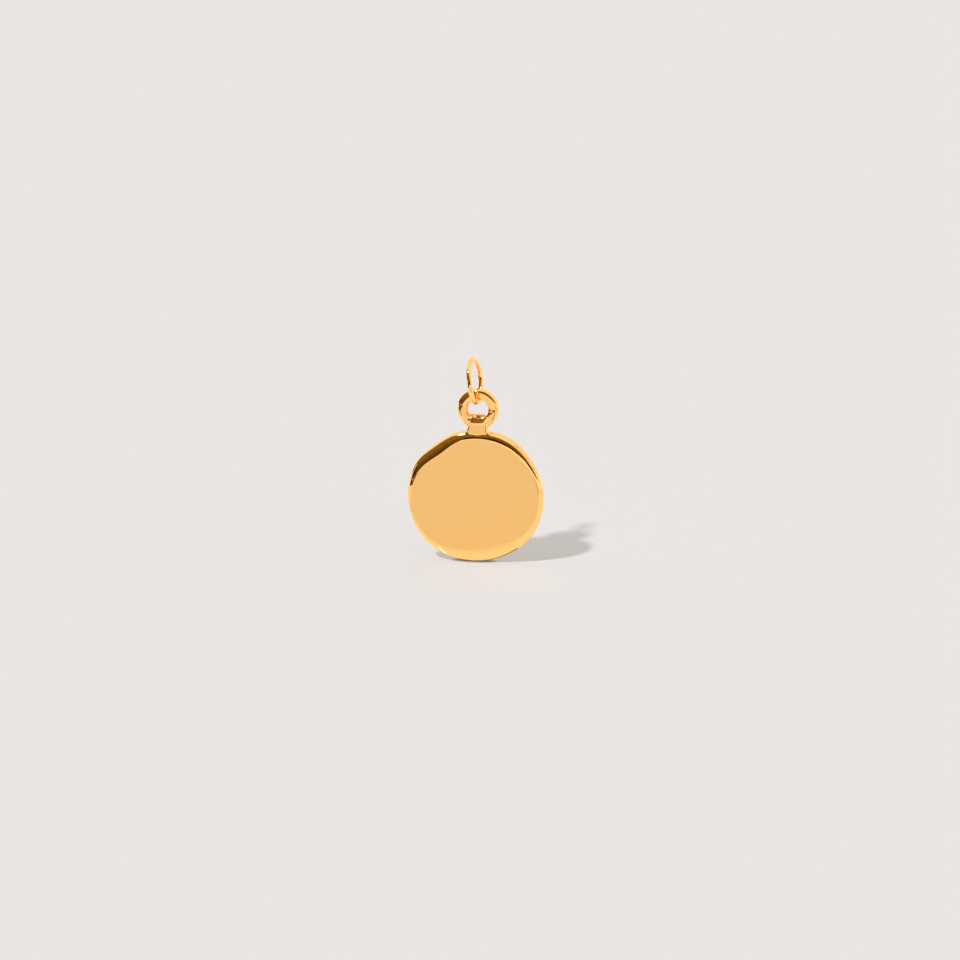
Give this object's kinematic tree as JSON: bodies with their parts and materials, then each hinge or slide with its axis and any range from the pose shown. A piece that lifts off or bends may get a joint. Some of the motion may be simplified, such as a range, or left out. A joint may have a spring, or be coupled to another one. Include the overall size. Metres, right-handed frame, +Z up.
{
  "type": "medallion pendant",
  "caption": "Plain round medallion with a flat mirror face and a soft uneven rim, cast in one with its neck and eye, hung on a slim round-wire jump ring.",
  "frame": {"origin": "top of the hole in the jump ring, where a chain carries the pendant", "axes": "+Z up along the hanging pendant, -Y out of the flat mirror face, +X to the right of someone who looks at that face"},
  "size_m": [0.0152, 0.0054, 0.0235],
  "materials": {
    "ring_gold": "polished yellow gold plate on drawn round wire",
    "medallion_gold": "mirror-polished yellow gold plate on a cast body"
  },
  "bodies": {
    "ring": {"jump_ring": "ring_gold"},
    "pendant": {"medallion": "medallion_gold"}
  },
  "joints": [
    {"name": "medallion_swing", "type": "hinge", "parent": "ring", "child": "pendant", "pos_m": [0.00071, 0, -0.00446], "axis": [0, 1, 0], "range_deg": [-90, 90]}
  ]
}
